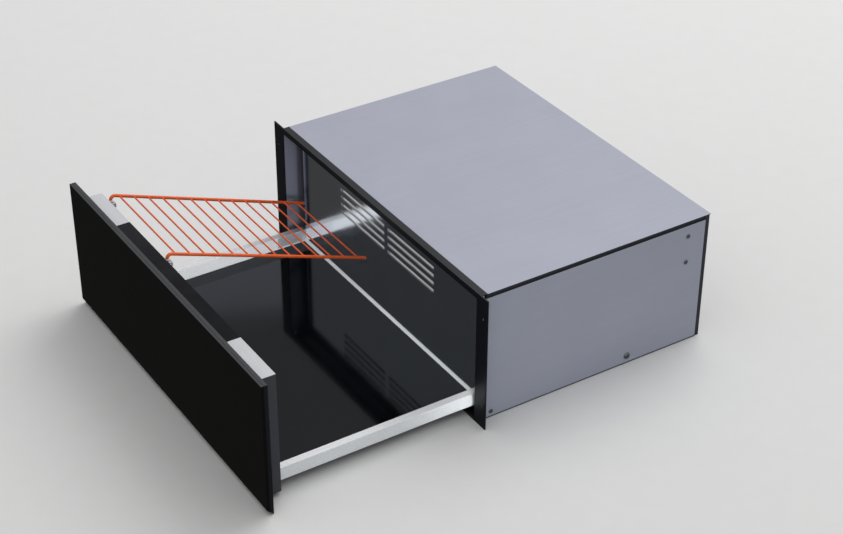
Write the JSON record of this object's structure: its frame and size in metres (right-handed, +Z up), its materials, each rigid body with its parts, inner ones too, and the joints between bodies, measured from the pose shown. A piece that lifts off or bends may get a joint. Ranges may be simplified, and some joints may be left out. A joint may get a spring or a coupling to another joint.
{
  "type": "warming drawer",
  "caption": "Built-in warming drawer pulled open: grey chassis with black front frame, handleless black front, heated glass base, fan slots in the rear panel and a lift-out wire rack.",
  "frame": {"origin": "centre of the underside of the chassis, without the front", "axes": "+X to the right, -Y towards the user (the way the drawer opens), +Z up"},
  "size_m": [0.595, 0.7543, 0.218],
  "materials": {
    "frame_black": "fine black powder coat",
    "sheet_grey": "smooth grey sheet metal, low gloss",
    "front_black_glass": "gloss black, printed behind",
    "carrier_black": "black powder coat",
    "box_grey": "grey, low gloss",
    "control_glass": "gloss dark glass",
    "satin_steel": "satin, brushed along its length",
    "base_glass": "gloss dark glass, printed behind",
    "rear_steel": "polished dark steel that mirrors the drawer",
    "bright_steel": "bright sheet",
    "zinc_steel": "zinc coated, dull",
    "screw_steel": "dull steel",
    "black_rubber": "matt",
    "dark_plastic": "matt, fine grain",
    "white_nylon": "matt",
    "circuit_board": "coated board",
    "insulation": "fibre mat",
    "heater_mica": "mica sheet",
    "motor_metal": "grey",
    "fan_aluminium": "pressed sheet",
    "heater_steel": "heat-tinted tube",
    "sensor_brass": "dull",
    "rack_orange": "orange coating on wire"
  },
  "bodies": {
    "chassis": {"front_flange": "frame_black", "base_panel": "frame_black", "side_panel_left": "sheet_grey", "side_panel_right": "sheet_grey", "top_cover": "sheet_grey", "back_panel": "frame_black", "runner_bracket_left": "zinc_steel", "runner_bracket_right": "zinc_steel", "runner_fixed_left": "zinc_steel", "runner_fixed_right": "zinc_steel", "push_open_unit": "dark_plastic", "terminal_box": "dark_plastic", "cable_grommet": "black_rubber", "panel_screws": "screw_steel", "dome_screws": "screw_steel"},
    "runner_left": {"runner_middle_left": "zinc_steel", "glide_pads_left": "white_nylon"},
    "runner_right": {"runner_middle_right": "zinc_steel", "glide_pads_right": "white_nylon"},
    "drawer": {"front_glass": "front_black_glass", "front_carrier": "carrier_black", "closing_buffers": "black_rubber", "inner_box": "box_grey", "end_cap_right": "satin_steel", "end_cap_left": "satin_steel", "control_panel": "control_glass", "control_board": "circuit_board", "side_wall_right": "satin_steel", "side_wall_left": "satin_steel", "drawer_pan": "zinc_steel", "insulation_mat": "insulation", "heating_element": "heater_mica", "glass_base": "base_glass", "rear_panel": "rear_steel", "rear_strip": "satin_steel", "fan_housing": "zinc_steel", "baffle_plate": "bright_steel", "fan_motor": "motor_metal", "air_heater": "heater_steel", "temperature_sensor": "sensor_brass", "rack_clips": "dark_plastic", "rack_pins": "dark_plastic", "runner_drawer_left": "zinc_steel", "runner_drawer_right": "zinc_steel"},
    "fan": {"fan_wheel": "fan_aluminium"},
    "rack": {"wire_rack": "rack_orange"},
    "plunger": {"push_open_plunger": "white_nylon"}
  },
  "joints": [
    {"name": "drawer_slide", "type": "slide", "parent": "chassis", "child": "drawer", "axis": [0, -1, 0], "range_m": [-0.3336, 0]},
    {"name": "runner_left_slide", "type": "slide", "parent": "chassis", "child": "runner_left", "axis": [0, -1, 0], "range_m": [-0.1668, 0]},
    {"name": "runner_right_slide", "type": "slide", "parent": "chassis", "child": "runner_right", "axis": [0, -1, 0], "range_m": [-0.1668, 0]},
    {"name": "rack_lift", "type": "slide", "parent": "drawer", "child": "rack", "axis": [0, 0, 1], "range_m": [0, 0.005]},
    {"name": "fan_spin", "type": "hinge", "parent": "drawer", "child": "fan", "pos_m": [0, -0.16775, 0.075], "axis": [0, 1, 0], "continuous": true},
    {"name": "plunger_push", "type": "slide", "parent": "chassis", "child": "plunger", "axis": [0, -1, 0], "range_m": [0, 0.0035]}
  ],
  "couplings": [
    {"joint": "runner_left_slide", "follows": "drawer_slide", "ratio": 0.5},
    {"joint": "runner_right_slide", "follows": "drawer_slide", "ratio": 0.5}
  ]
}
